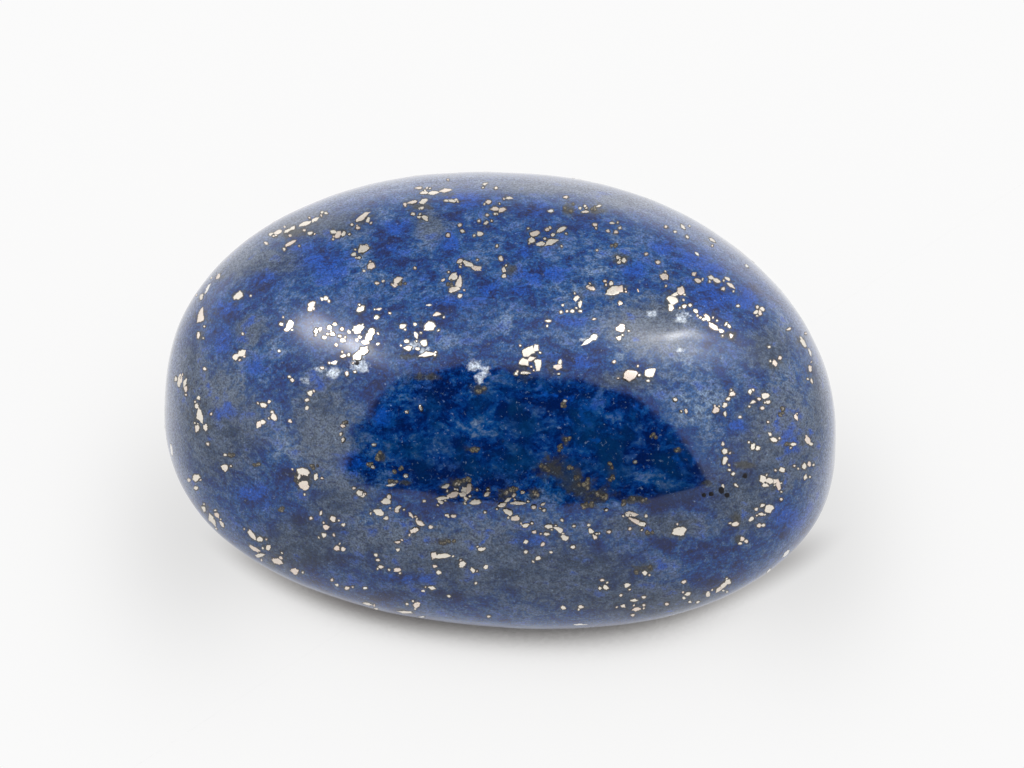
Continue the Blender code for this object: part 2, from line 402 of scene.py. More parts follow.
# Whitish slivers. They are partly pale mineral and partly painted glints: white grains set where the polish glints,
# as in the dark half-moon.
SLIVERS_AND_GLINTS = [
    (373, 467, 4), (406, 476, 4), (421, 408, 7, 2, -68), (407, 412, 4), (374, 445, 4, 2), (478, 449),
    (391, 485, 9, 2, 8), (565, 401, 4, 2), (635, 462, 3, 3), (588, 341, 13, 3, 28), (594, 337, 10, 5, 42),
    (171, 449, 14, 2, -84), (207, 289, 13, 2, 64), (810, 352, 9, 2, -70), (769, 571, 6, 2, 45), (786, 554, 9, 3, 50),
    (579, 625, 14, 1), (738, 306), (551, 211, 6, 2), (697, 254, 5, 2, -50), (747, 266, 4, 2, -50), (365, 588, 5, 2),
    (422, 617, 7, 1), (429, 305, 6, 2),
]
BLACK = [
    (721, 490, 6, 5, 60), (711, 494), (727, 495, 3, 3), (704, 495, 3, 2, 30), (357, 363, 3, 2, 40), (745, 476, 3, 3),
]
print("grains:", len(TARNISHED), len(SLIVERS_AND_GLINTS), len(BLACK))


# %% Grains in full
def in_full(across, down, long=3, wide=None, turn=0):
    """A grain with its length, width and turn, also where they are left out."""
    return across, down, long, wide or round(long * 2 / 3), turn


PYRITE = {place: [in_full(*grain) for grain in grains] for place, grains in PYRITE.items()}
TARNISHED, SLIVERS_AND_GLINTS, BLACK = ([in_full(*grain) for grain in grains] for grains in (TARNISHED, SLIVERS_AND_GLINTS, BLACK))
print("the first grain in full:", PYRITE["left_rim"][0])

# %% [markdown]
# ## Patches of minerals
# No two square millimetres of lapis are alike, and the eye reads its large patches first: royal and navy blue
# where lazurite crowds, grey clouds where calcite thins it, olive where pyrite sits close below the polish, and a
# few spots of bare white calcite. Each patch is a soft oval, named by where it is seen in the picture. The ovals
# are stored on the skin as one value for each kind of mineral, so they stay on the stone from any side. Nodes
# break up their rims later.

# %% Blue and clouded patches
# Each patch is how far across and down the picture it is, and half its width and height, in pixels.
PATCHES = {}
PATCHES["royal"] = [
    (325, 262, 24, 20), (394, 228, 20, 9), (386, 247, 16, 10), (450, 246, 10, 13), (264, 280, 17, 10),
    (227, 311, 15, 10), (223, 343, 12, 18), (468, 200, 26, 10), (444, 304, 19, 8), (490, 289, 12, 9),
    (255, 369, 12, 11), (535, 211, 15, 9), (543, 274, 28, 9), (520, 291, 14, 7), (634, 272, 13, 10),
    (668, 248, 14, 8), (692, 257, 20, 9), (716, 268, 12, 7), (747, 296, 12, 13), (712, 300, 24, 18),
    (569, 322, 19, 6), (578, 361, 30, 9), (524, 252, 9, 6), (253, 495, 18, 10), (225, 413, 20, 8), (383, 419, 10, 16),
    (355, 463, 15, 8), (580, 416, 16, 11), (674, 458, 24, 9), (563, 395, 25, 8), (600, 440, 14, 9), (628, 405, 20, 9),
    (786, 517, 18, 18), (738, 426, 12, 7), (790, 440, 10, 20), (409, 578, 36, 6), (528, 541, 16, 8),
]
PATCHES["navy"] = [
    (434, 391, 22, 11), (515, 415, 13, 13), (457, 443, 9, 5), (424, 472, 14, 8), (548, 406, 13, 6), (646, 458, 13, 6),
    (664, 500, 20, 9), (684, 497, 10, 7), (351, 461, 14, 7), (372, 410, 6, 10), (582, 226, 22, 5), (236, 432, 12, 7),
    (257, 445, 19, 7), (281, 474, 10, 7), (333, 560, 46, 6), (340, 530, 12, 8), (708, 550, 24, 9), (663, 543, 14, 6),
    (511, 573, 18, 5), (745, 476, 5, 4), (460, 470, 18, 8), (500, 480, 16, 8), (610, 455, 12, 7), (427, 276, 12, 5),
    (700, 470, 12, 8), (300, 520, 14, 7), (380, 595, 30, 5), (450, 596, 24, 4), (590, 560, 30, 5), (404, 262, 8, 5),
]
PATCHES["cloud"] = [
    (234, 374, 18, 17), (429, 231, 16, 14), (253, 257, 22, 13), (383, 224, 10, 8), (565, 289, 18, 9),
    (595, 272, 14, 6), (643, 322, 34, 18), (619, 356, 14, 15), (617, 382, 12, 9), (782, 322, 13, 14),
    (786, 372, 16, 17), (738, 378, 11, 11), (294, 450, 26, 17), (338, 487, 18, 20), (362, 521, 26, 12),
    (398, 539, 42, 14), (450, 535, 44, 18), (478, 425, 26, 10), (600, 416, 11, 5), (618, 431, 9, 12),
    (583, 451, 11, 5), (652, 478, 13, 8), (670, 484, 20, 5), (747, 493, 22, 13), (444, 343, 13, 11),
    (318, 376, 24, 8), (280, 350, 22, 12), (330, 425, 12, 22), (655, 335, 44, 32), (680, 365, 40, 24),
    (197, 452, 10, 16), (192, 491, 9, 12), (770, 400, 20, 14), (402, 396, 8, 5), (345, 238, 30, 14),
    (364, 258, 14, 20), (380, 275, 14, 10), (386, 216, 24, 8), (785, 425, 40, 55), (208, 400, 36, 50),
    (235, 385, 28, 26), (700, 410, 26, 26), (330, 420, 24, 36), (505, 322, 10, 10), (640, 300, 12, 8),
    (720, 400, 14, 10), (800, 470, 8, 20),
]
print("blue and clouded patches:", sum(len(patches) for patches in PATCHES.values()))

# %% Other patches
PATCHES["olive"] = [
    (569, 209, 7, 8), (595, 211, 13, 5), (619, 259, 12, 7), (730, 336, 11, 6), (479, 389, 8, 6), (381, 457, 6, 6),
    (474, 449, 9, 3), (550, 468, 16, 12), (570, 477, 14, 14), (582, 488, 18, 11), (596, 495, 20, 10),
    (611, 472, 5, 8), (635, 500, 15, 5), (535, 495, 8, 6), (566, 441, 4, 5), (677, 450, 5, 3), (506, 495, 10, 9),
    (458, 484, 15, 8), (643, 569, 13, 5), (736, 519, 7, 7), (738, 539, 7, 5), (707, 483, 6, 5), (303, 478, 10, 14),
    (440, 541, 10, 4), (512, 270, 10, 6), (290, 232, 22, 6), (421, 207, 14, 5), (362, 495, 7, 6), (360, 310, 7, 6),
    (405, 483, 6, 4), (415, 356, 22, 4), (425, 377, 20, 4), (745, 465, 12, 6),
]
# The veil patches sit at the ends, the rims and the lower front. They are partly greyer rock, partly painted haze
# where the polish mirrors the tent, and partly painted shade on the lower front.
PATCHES["veil_and_haze"] = [
    (215, 420, 46, 62), (322, 425, 30, 48), (470, 560, 110, 38), (560, 575, 90, 34), (640, 600, 80, 18),
    (782, 440, 46, 58), (745, 500, 36, 34), (300, 545, 46, 26), (655, 525, 60, 12), (248, 262, 58, 18),
    (306, 224, 60, 14), (430, 226, 18, 14), (250, 330, 16, 16), (340, 500, 30, 26), (560, 186, 80, 8),
    (640, 200, 50, 10), (625, 380, 34, 9), (380, 540, 50, 18), (770, 350, 22, 26), (190, 370, 14, 30),
    (655, 325, 44, 26), (820, 400, 10, 50),
]
# The deep patches lie where the polish mirrors the tent's dark opening. They are partly deeper lazurite and partly
# painted shade that darkens the stone there.
PATCHES["deep"] = [
    (445, 440, 84, 56), (520, 430, 80, 60), (600, 445, 90, 58), (670, 462, 40, 40),
]
# The two patches at 588, 340 and 595, 337 paint a small white glint as bare calcite.
PATCHES["calcite"] = [
    (474, 366, 9, 8), (484, 370, 8, 9), (479, 379, 6, 7), (359, 363, 10, 9), (334, 373, 9, 7), (305, 380, 6, 5),
    (682, 317, 9, 8), (652, 313, 8, 4), (414, 345, 9, 5), (424, 350, 7, 5), (588, 340, 9, 3), (595, 337, 4, 4),
    (680, 350, 7, 3), (366, 368, 6, 5), (320, 369, 7, 4),
]
print("patches in the picture:", {mineral: len(patches) for mineral, patches in PATCHES.items()})

# %% Patches seen in the picture
RIM_FADE = (0.05, 0.3)
# An olive halo lies round every grain, a margin wider than it, and faint round a grain below the full length.
HALO_STRENGTH = 0.55
HALO_MARGIN = 2
HALO_FLATNESS = 0.7
FULL_HALO_LENGTH = 8


def oval(across, down, patch):
    """1 in the middle of a patch, and less and less away from it."""
    middle_across, middle_down, half_width, half_height = patch
    return np.exp(-(((across - middle_across) / half_width) ** 2) - ((down - middle_down) / half_height) ** 2)


on_core = skin_points.copy()
seen_across, seen_down = in_picture(on_core)
towards_camera = (outward(on_core) * TO_CAMERA).sum(axis=1)
seen = np.clip((towards_camera - RIM_FADE[0]) / (RIM_FADE[1] - RIM_FADE[0]), 0, 1)
patch_values = {}
for mineral, patches in PATCHES.items():
    value = np.zeros(len(on_core))
    for patch in patches:
        value = np.maximum(value, oval(seen_across, seen_down, patch))
    patch_values[mineral] = value * seen
for grains in PYRITE.values():
    for across, down, long, *rest in grains:
        rim = (across, down, long + HALO_MARGIN, HALO_FLATNESS * long + HALO_MARGIN)
        halo = HALO_STRENGTH * min(long / FULL_HALO_LENGTH, 1) * oval(seen_across, seen_down, rim)
        patch_values["olive"] = np.maximum(patch_values["olive"], halo * seen)
print("olive with its halos:", f"{100 * (patch_values['olive'] > 0.5).mean():.0f}% of the skin")

# %% [markdown]
# ## Patches on the unseen sides
# The back and the underside are guessed in the same style. A seeded dice throws round patches of the same kinds
# and sizes onto them, as many to the square millimetre as in front.

# %% Unseen patches
# For each mineral: how many patches, and the smallest and largest half width in millimetres.
UNSEEN_PATCHES = {
    "royal": (70, 0.4, 1.2), "navy": (60, 0.25, 0.9), "cloud": (70, 0.5, 1.5), "olive": (60, 0.2, 0.5),
    "veil_and_haze": (12, 1.5, 3.5), "deep": (4, 1.5, 3.0), "calcite": (14, 0.2, 0.45),
}
STONE_STRETCH = (1.4, 1.0, 0.8)
PATCH_SQUEEZE = (0.7, 1, 1)
patch_dice = np.random.default_rng(21)
for mineral, (count, smallest, largest) in UNSEEN_PATCHES.items():
    middles = onto_surface(patch_dice.normal(size=(count, 3)) * STONE_STRETCH)
    sizes = patch_dice.uniform(smallest, largest, size=(count, 1)) * MM
    value = np.zeros(len(on_core))
    for middle, size in zip(middles, sizes):
        away = np.linalg.norm((on_core - middle) * PATCH_SQUEEZE, axis=1) / size
        value = np.maximum(value, np.exp(-(away**2)))
    value = np.maximum(patch_values[mineral], value * (1 - seen))
    attribute = skin_mesh.attributes.new(mineral, "FLOAT", "POINT")
    attribute.data.foreach_set("value", value)
    print(f"{mineral}: {100 * (value > 0.5).mean():.0f}% of the skin")

# %% [markdown]
# ## Small helpers for nodes
# A material is a chain of nodes, and most of its lines say the same few things: make a node, mix two colours, ask
# a noise for its value, turn a range of values into a soft mask. A helper for each keeps the recipes readable.

# %% Node helpers
NO_LIGHT = (0, 0, 0, 1)


def node(tree, kind, inputs=None, **settings):
    """A new node with these settings. An input is a value, or a socket to link to it."""
    made = tree.nodes.new(kind)
    for name, value in settings.items():
        setattr(made, name, value)
    for name, value in (inputs or {}).items():
        if isinstance(value, bpy.types.NodeSocket):
            tree.links.new(value, made.inputs[name])
        else:
            made.inputs[name].default_value = value
    return made


def math_node(tree, operation, *values):
    return node(tree, "ShaderNodeMath", dict(enumerate(values)), operation=operation).outputs[0]


def vector_node(tree, operation, *values):
    """The vector, or the one number, that an operation on vectors gives."""
    made = node(tree, "ShaderNodeVectorMath", dict(enumerate(values)), operation=operation)
    return made.outputs["Value" if operation in ("DOT_PRODUCT", "LENGTH") else "Vector"]


def times(tree, first, *others):
    """All the values multiplied together."""
    for other in others:
        first = math_node(tree, "MULTIPLY", first, other)
    return first


def add_up(tree, start, parts):
    """The start value plus each part times its share."""
    for value, share in parts:
        start = math_node(tree, "MULTIPLY_ADD", value, share, start)
    return start


def fade(tree, value, start, end, low=0.0, high=1.0):
    """Goes smoothly from low to high while the value goes from start to end."""
    limits = {"Value": value, "From Min": start, "From Max": end, "To Min": low, "To Max": high}
    return node(tree, "ShaderNodeMapRange", limits, interpolation_type="SMOOTHSTEP").outputs["Result"]


# %% Node helpers for colour and place
def mix_colours(tree, share, first, second, blend="MIX"):
    """The first colour where the share is 0, and the second where it is 1."""
    inputs = {0: share, 6: first, 7: second}
    return node(tree, "ShaderNodeMix", inputs, data_type="RGBA", blend_type=blend).outputs[2]


def colour_run(tree, value, stops):
    """A run of colours that a value walks along."""
    ramp = node(tree, "ShaderNodeValToRGB", {"Fac": value})
    marks = ramp.color_ramp.elements
    while len(marks) < len(stops):
        marks.new(0.5)
    for mark, (place, colour) in zip(marks, stops.items()):
        mark.position = place
        mark.color = (*colour, 1)
    return ramp.outputs["Color"]


def noise(tree, place, per_mm, detail=4.0, roughness=0.55, shift=0.0):
    """Clouds around 0.5, with this many to the millimetre."""
    moved = vector_node(tree, "ADD", place, (shift, 2 * shift, -shift))
    inputs = {"Vector": moved, "Scale": per_mm, "Detail": detail, "Roughness": roughness}
    return node(tree, "ShaderNodeTexNoise", inputs).outputs["Fac"]


def millimetres(tree):
    """The place on the object in millimetres."""
    return vector_node(tree, "MULTIPLY", node(tree, "ShaderNodeTexCoord").outputs["Object"], (1 / MM,) * 3)


def stored(tree, name):
    """A value that is stored on the mesh."""
    return node(tree, "ShaderNodeAttribute", attribute_name=name).outputs["Fac"]


def new_material(name):
    material = bpy.data.materials.new(name)
    material.use_nodes = True
    return material, material.node_tree, material.node_tree.nodes["Principled BSDF"]


# %% [markdown]
# ## Polish
# The stone and its pyrite left the tumbler together, so both carry the same polish: a faint orange peel, hairline
# scratches that run every way, and spots where the gloss is weaker. It is one node group with named inputs, used
# in both materials with values of their own.

# %% Polish group
POLISH_INPUTS = {"Peel": 1.0, "Scratches": 0.3, "Gloss Spots": 0.05, "Gloss": 0.1}
HAIR_TURNS = (0.3, 1.4, 2.5)
HAIR_AXIS = (0.4, 0.5, 0.77)
HAIR_STRETCH = (0.25, 9.0, 9.0)
SCRATCH_DULLNESS = 0.15


def build_polish():
    """The node group, from its sockets to its output."""
    group = bpy.data.node_groups.new("tumbled_polish", "ShaderNodeTree")
    sockets = group.interface
    sockets.new_socket("Place", in_out="INPUT", socket_type="NodeSocketVector")
    for name, value in POLISH_INPUTS.items():
        sockets.new_socket(name, in_out="INPUT", socket_type="NodeSocketFloat").default_value = value
    for name in ("Height", "Roughness"):
        sockets.new_socket(name, in_out="OUTPUT", socket_type="NodeSocketFloat")
    given = group.nodes.new("NodeGroupInput").outputs
    place = given["Place"]
    peel = times(group, noise(group, place, 2.2, 3.0), given["Peel"])
    scratch = 0.0
    for turn in HAIR_TURNS:
        turned = node(group, "ShaderNodeVectorRotate", {"Vector": place, "Axis": HAIR_AXIS, "Angle": turn})
        long = vector_node(group, "MULTIPLY", turned.outputs["Vector"], HAIR_STRETCH)
        hair = fade(group, noise(group, long, 1.0, 1.0, shift=turn), 0.73, 0.82)
        scratch = math_node(group, "MAXIMUM", hair, scratch)
    here_and_there = fade(group, noise(group, place, 0.5, 2.0, shift=9.0), 0.45, 0.6)
    scratch = times(group, scratch, here_and_there, given["Scratches"])
    spots = fade(group, noise(group, place, 1.3, 5.0, shift=4.0), 0.42, 0.68)
    roughness = add_up(group, given["Gloss"], [(spots, given["Gloss Spots"]), (scratch, SCRATCH_DULLNESS)])
    height = math_node(group, "SUBTRACT", peel, scratch)
    node(group, "NodeGroupOutput", {"Height": height, "Roughness": roughness})
    return group


polish = build_polish()
print("polish group:", [item.name for item in polish.interface.items_tree])


# %% Putting the polish on
BUMP_HEIGHT = 0.001 * MM


def add_polish(tree, shader, place, **values):
    """Puts the polish on a shader, as roughness and as a bump of a thousandth of a millimetre."""
    laid = node(tree, "ShaderNodeGroup", {}, node_tree=polish)
    tree.links.new(place, laid.inputs["Place"])
    for name, value in values.items():
        laid.inputs[name.replace("_", " ")].default_value = value
    bump = node(tree, "ShaderNodeBump", {"Height": laid.outputs["Height"], "Distance": BUMP_HEIGHT})
    tree.links.new(bump.outputs["Normal"], shader.inputs["Normal"])
    tree.links.new(laid.outputs["Roughness"], shader.inputs["Roughness"])


print("bump:", BUMP_HEIGHT / MM, "mm")

# %% [markdown]
# ## Lapis
# Seen close, lapis looks like a watercolour: deep and bright blues run into greyer and paler ones with soft
# edges, in patches of every size. One value, how pale the rock is, drives one run of colours from navy to grey
# blue. It adds up noises of four sizes and the stored patches, so no patch has a clean rim. Over that lie a grey
# veil, which is partly greyer rock and partly painted haze and shade, royal blue where lazurite crowds, olive where
# pyrite is near, dark streaks, fine specks and bare calcite. The deep patches, where the polish mirrors the tent's
# dark opening, are partly deeper lazurite and partly painted shade. A painted grey sheen at the rim stands in for
# the tent mirrored at a slant.

# %% Lapis colours
BLUES = {
    0.00: (0.0003, 0.008, 0.062),
    0.20: (0.0006, 0.018, 0.115),
    0.38: (0.0012, 0.033, 0.165),
    0.52: (0.0045, 0.053, 0.188),
    0.66: (0.0220, 0.074, 0.205),
    0.80: (0.0580, 0.110, 0.230),
    0.92: (0.1050, 0.165, 0.275),
    1.00: (0.1700, 0.250, 0.370),
}
# The two greys of the veil: partly greyer rock, partly painted haze and shade.
VEIL_AND_HAZE_DARK = (0.018, 0.036, 0.072, 1)
VEIL_AND_HAZE_PALE = (0.074, 0.096, 0.140, 1)
ROYAL_BLUE = (0.0025, 0.052, 0.310, 1)
# The grey of the painted rim sheen, which stands in for the tent mirrored at a slant.
RIM_SHEEN_GREY = (0.300, 0.320, 0.390, 1)
STREAK_NAVY = (0.001, 0.010, 0.070, 1)
# The teal of the deep patches, partly real colour and partly painted shade.
DEEP_TEAL_AND_SHADE = (0.0008, 0.027, 0.092, 1)
OLIVE = (0.034, 0.036, 0.034, 1)
CALCITE_WHITE = (0.56, 0.62, 0.70, 1)
PALE_SPECK = (0.22, 0.31, 0.44, 1)

print("lapis runs through", len(BLUES), "blues")

# %% Lapis mixtures
# Each noise has its number to the millimetre, its detail, its roughness and the shift that sets it apart.
LAPIS_NOISES = {
    "broad": (0.35, 2.0, 0.45, 0.0),
    "cloudy": (0.9, 2.0, 0.5, 3.0),
    "mottle": (2.2, 3.0, 0.5, 7.0),
    "grainy": (6.0, 4.0, 0.6, 11.0),
}
BLUE_PATCHES = ("royal", "navy", "cloud", "veil_and_haze", "deep")
# In the values below, the veil share is partly painted haze and shade, and the deep share partly painted shade.
# What a value is made of: where it starts, and the share of each noise and each kind of patch.
PALENESS = (
    -1.85,
    {
        "broad": 0.6, "cloudy": 1.2, "mottle": 1.4, "grainy": 1.5,
        "cloud": 0.28, "veil_and_haze": 0.1, "royal": -0.1, "navy": -0.42, "deep": -0.38,
    },
)
VEILED_AND_HAZED = (0.0, {"veil_and_haze": 1.3, "cloudy": 1.1, "mottle": 1.5, "grainy": 0.9, "royal": -0.5})
CROWDED = (-2.4, {"cloudy": 1.6, "mottle": 2.2, "grainy": 1.0, "royal": 0.68, "deep": -0.35})
# The mottling drifts by up to this many millimetres, and is drawn out along the stone.
DRIFT = 0.7
DRAWN_OUT = (0.78, 1, 1)
STREAK_STRETCH = (0.45, 1, 1)
TINY_CONTRAST = (0.45, 1.55)


def drifted_place(tree, place):
    """The place, moved about by a slow noise, so that patches run into each other."""
    drift = node(tree, "ShaderNodeTexNoise", {"Vector": place, "Scale": 0.7, "Detail": 3.0}).outputs["Color"]
    drift = vector_node(tree, "SUBTRACT", drift, (0.5,) * 3)
    return vector_node(tree, "ADD", place, vector_node(tree, "MULTIPLY", drift, (DRIFT,) * 3))


# %% Blues with their veil
def lapis_blues(tree, drifted):
    """The blues, greyed in patches that are partly greyer rock, partly a painted reflection of the tent and partly
    painted shade, and royal blue where lazurite crowds.
    """
    drawn_out = vector_node(tree, "MULTIPLY", drifted, DRAWN_OUT)
    found = {name: noise(tree, drawn_out, *recipe) for name, recipe in LAPIS_NOISES.items()}
    found.update({mineral: stored(tree, mineral) for mineral in BLUE_PATCHES})
    paleness, veil_and_haze, crowd = (
        add_up(tree, start, [(found[name], share) for name, share in shares.items()])
        for start, shares in (PALENESS, VEILED_AND_HAZED, CROWDED)
    )
    colour = colour_run(tree, paleness, BLUES)
    veil_and_haze_colour = mix_colours(tree, fade(tree, paleness, 0.1, 1.0), VEIL_AND_HAZE_DARK, VEIL_AND_HAZE_PALE)
    colour = mix_colours(tree, fade(tree, veil_and_haze, 1.7, 2.7, 0.0, 0.9), colour, veil_and_haze_colour)
    return mix_colours(tree, fade(tree, crowd, 0.15, 0.75, 0.0, 0.85), colour, ROYAL_BLUE)


# %% Minerals over the blues
def lapis_minerals(tree, place, drifted, colour, deep_and_shade):
    """Olive rust, teal and navy depths, pale specks and bare calcite, laid over the blues.
    The teal, and fewer streaks, follow the patches where the dark opening is mirrored, partly real colour and partly
    painted shade.
    """
    rust = add_up(tree, noise(tree, place, 3.2, 4.0, 0.6, shift=19.0), [(stored(tree, "olive"), 0.55)])
    colour = mix_colours(tree, fade(tree, rust, 0.62, 0.98, 0.0, 0.9), colour, OLIVE)
    teal = fade(tree, noise(tree, drifted, 0.8, 2.0, 0.5, shift=51.0), 0.42, 0.66, 0.0, 0.6)
    colour = mix_colours(tree, times(tree, teal, deep_and_shade), colour, DEEP_TEAL_AND_SHADE)
    streaks = noise(tree, vector_node(tree, "MULTIPLY", drifted, STREAK_STRETCH), 6.5, 4.0, 0.65, shift=23.0)
    streaks = times(tree, fade(tree, streaks, 0.55, 0.66, 0.0, 0.72), add_up(tree, 1.0, [(deep_and_shade, -0.6)]))
    colour = mix_colours(tree, streaks, colour, STREAK_NAVY)
    specks = noise(tree, place, 7.0, 3.0, 0.65, shift=27.0)
    colour = mix_colours(tree, fade(tree, specks, 0.6, 0.78, 0.0, 0.5), colour, PALE_SPECK)
    white = add_up(tree, noise(tree, place, 3.4, 5.0, 0.68, shift=31.0), [(stored(tree, "calcite"), 0.5)])
    return mix_colours(tree, fade(tree, white, 0.7, 1.0, 0.0, 0.85), colour, CALCITE_WHITE)


# %% Painted rim sheen and crystals
def lapis_painted_rim_sheen(tree, colour):
    """Paints a grey sheen on what is seen at a slant, where the polish mirrors the tent, but not where the stone
    overhangs.
    """
    facing_away = node(tree, "ShaderNodeLayerWeight", {"Blend": 0.5}).outputs["Facing"]
    normal = node(tree, "ShaderNodeNewGeometry").outputs["Normal"]
    upward = node(tree, "ShaderNodeSeparateXYZ", {"Vector": normal}).outputs["Z"]
    painted_sheen = times(tree, fade(tree, facing_away, 0.4, 0.95), fade(tree, upward, -0.5, 0.05, 0.0, 0.72))
    return mix_colours(tree, painted_sheen, colour, RIM_SHEEN_GREY)


def lapis_crystals(tree, place, colour, deep_and_shade):
    """Makes single crystals lighter and darker."""
    tiny = fade(tree, noise(tree, place, 13.0, 2.0, shift=35.0), 0.25, 0.75, *TINY_CONTRAST)
    grey = node(tree, "ShaderNodeCombineColor", {"Red": tiny, "Green": tiny, "Blue": tiny}).outputs["Color"]
    grey = mix_colours(tree, times(tree, deep_and_shade, 0.7), grey, (1, 1, 1, 1))
    return mix_colours(tree, 1.0, colour, grey, blend="MULTIPLY")


# %% Lapis material
lapis, lapis_tree, lapis_shader = new_material("lapis")


def build_lapis(tree, shader):
    """Lays the layers over each other and polishes them."""
    place = millimetres(tree)
    drifted = drifted_place(tree, place)
    # The deep patches are partly deeper lazurite and partly painted shade where the dark opening is mirrored.
    deep_and_shade = fade(tree, stored(tree, "deep"), 0.1, 0.8)
    colour = lapis_minerals(tree, place, drifted, lapis_blues(tree, drifted), deep_and_shade)
    # The painted rim sheen greys the colour where the polish would mirror the tent at a slant.
    colour = lapis_crystals(tree, place, lapis_painted_rim_sheen(tree, colour), deep_and_shade)
    tree.links.new(colour, shader.inputs["Base Color"])
    add_polish(tree, shader, place, Peel=1.0, Scratches=0.2, Gloss_Spots=0.05, Gloss=0.05)


build_lapis(lapis_tree, lapis_shader)
lapis_shader.inputs["IOR"].default_value = 1.5
lapis_shader.inputs["Specular IOR Level"].default_value = 0.48
stone.data.materials.append(lapis)
print("lapis:", len(lapis_tree.nodes), "nodes")

# %% [markdown]
# ## Pyrite grains
# Each grain is a small closed inlay. Its outline is a rough polygon, as pyrite breaks along flat faces. The top
# stands a few thousandths of a millimetre proud, because pyrite is harder than lapis and wears less, and round it a
# narrow skirt dives below the skin. The skirt is kept dark, like the seam that shows round a real grain. Grains of
# the picture are drawn in its pixels and laid back onto the stone along the lines of sight.

# %% Grain shapes
CORNERS = 7
CORNER_SHIFT = 0.3
CORNER_REACH = (0.58, 1.2)
SIDE_BULGE = (0.8, 1.12)
INNER_SHARE = 0.55
ROOT_SHARE = 0.8
# A glint makes a grain look larger in the picture than it is, and the smallest grains most of all.
SMALLEST_SCALE = 0.6
SCALE_GROWTH = 0.035
LARGEST_SCALE = 1.08
SKIRT_PIXELS = 2.2
SKIRT_WIDTH = 0.085 * MM
# The tops stand at four heights, so that no two grains that overlap share one.
PROUD = 3 * MM / 1000
PROUD_STEP = 2 * MM / 1000
SKIRT_SUNK = 2 * MM / 1000
ROOT_DEPTH = 0.1 * MM

grain_dice = np.random.default_rng(33)


def grain_outlines(count):
    """Rough polygons inside a circle: a row of places for each grain, corner and side in turn."""
    slots = np.arange(CORNERS) + grain_dice.uniform(-CORNER_SHIFT, CORNER_SHIFT, (count, CORNERS))
    turns = slots * 2 * math.pi / CORNERS
    radii = grain_dice.uniform(*CORNER_REACH, (count, CORNERS))
    corners = np.stack([np.cos(turns), np.sin(turns)], axis=-1) * radii[..., None]
    sides = (corners + np.roll(corners, -1, axis=1)) / 2
    sides *= grain_dice.uniform(*SIDE_BULGE, (count, CORNERS))[..., None]
    return np.stack([corners, sides], axis=2).reshape(count, 2 * CORNERS, 2)


def turned_outlines(sizes, turns):
    """Outlines with these lengths and widths, turned by these angles."""
    outlines = grain_outlines(len(sizes)) * sizes[:, None, :] / 2
    cosines, sines = np.cos(turns)[:, None], np.sin(turns)[:, None]
    long, wide = outlines[..., 0], outlines[..., 1]
    return np.stack([long * cosines - wide * sines, long * sines + wide * cosines], axis=-1)


def with_skirt(outlines, skirt):
    """The flat places of all rings, from the middle out: middle, inner ring, edge, skirt, root, root's middle."""
    middle = np.zeros_like(outlines[:, :1])
    skirts = outlines * (1 + skirt / np.linalg.norm(outlines, axis=-1, keepdims=True))
    rings = [outlines * INNER_SHARE, outlines, skirts, outlines * ROOT_SHARE]
    return np.concatenate([middle, *rings, middle], axis=1)


# %% Grains laid on the stone
def picture_grains(grains):
    """Points of all rings for grains that are written as places, sizes and turns in the picture."""
    table = np.array(grains, float)
    scales = np.minimum(SMALLEST_SCALE + SCALE_GROWTH * table[:, 2:3], LARGEST_SCALE)
    flat = with_skirt(turned_outlines(scales * table[:, 2:4], np.radians(table[:, 4])), SKIRT_PIXELS)
    return on_stone(table[:, :1] + flat[..., 0], table[:, 1:2] - flat[..., 1])


CRUMBS = 4
CRUMB_CLOSENESS = 3.2
CRUMB_SIZES = (0.22, 0.55)
CRUMB_WIDTHS = (0.5, 0.9)


def crumbs(grains):
    """Each grain in crumbled form: bits of it that lie here and there within its oval."""
    bits = []
    for across, down, long, wide, turn in grains:
        turn = math.radians(turn)
        for bit in range(CRUMBS):
            along, beside = grain_dice.normal(size=2) * (long / CRUMB_CLOSENESS, wide / CRUMB_CLOSENESS)
            size = long * grain_dice.uniform(*CRUMB_SIZES)
            bit_across = across + along * math.cos(turn) - beside * math.sin(turn)
            bit_down = down - along * math.sin(turn) - beside * math.cos(turn)
            width = size * grain_dice.uniform(*CRUMB_WIDTHS)
            bits.append((bit_across, bit_down, size, width, grain_dice.uniform(0, 180)))
    return bits


SPLINTERED_FROM = 6
SPLINTER_AWAY = (0.65, 1.1)
SPLINTER_SIZES = (1.2, 2.2)
# The stone is seen at a slant, so distances up and down the picture are shorter.
SPLINTER_SLANT = 0.7


def splinters(grains):
    """One tiny splinter beside each of the larger grains."""
    bits = []
    for across, down, long, *rest in grains:
        if long >= SPLINTERED_FROM:
            heading = grain_dice.uniform(0, 2 * math.pi)
            away = long * grain_dice.uniform(*SPLINTER_AWAY)
            size = grain_dice.uniform(*SPLINTER_SIZES)
            place = (across + away * math.cos(heading), down + SPLINTER_SLANT * away * math.sin(heading))
            bits.append((*place, size, size / 2, grain_dice.uniform(0, 180)))
    return bits


# %% Grains on the unseen sides
UNSEEN_CLUSTERS = 150
UNSEEN_IN_CLUSTER = 5
UNSEEN_SPREAD = 0.7 * MM
UNSEEN_LENGTHS = (0.07 * MM, 0.6 * MM)
UNSEEN_WIDTHS = (0.4, 0.95)
# Above 1, small grains are commoner than large ones.
SMALL_ARE_COMMON = 1.6
CLEAR_OF_FLAT = 0.15 * MM


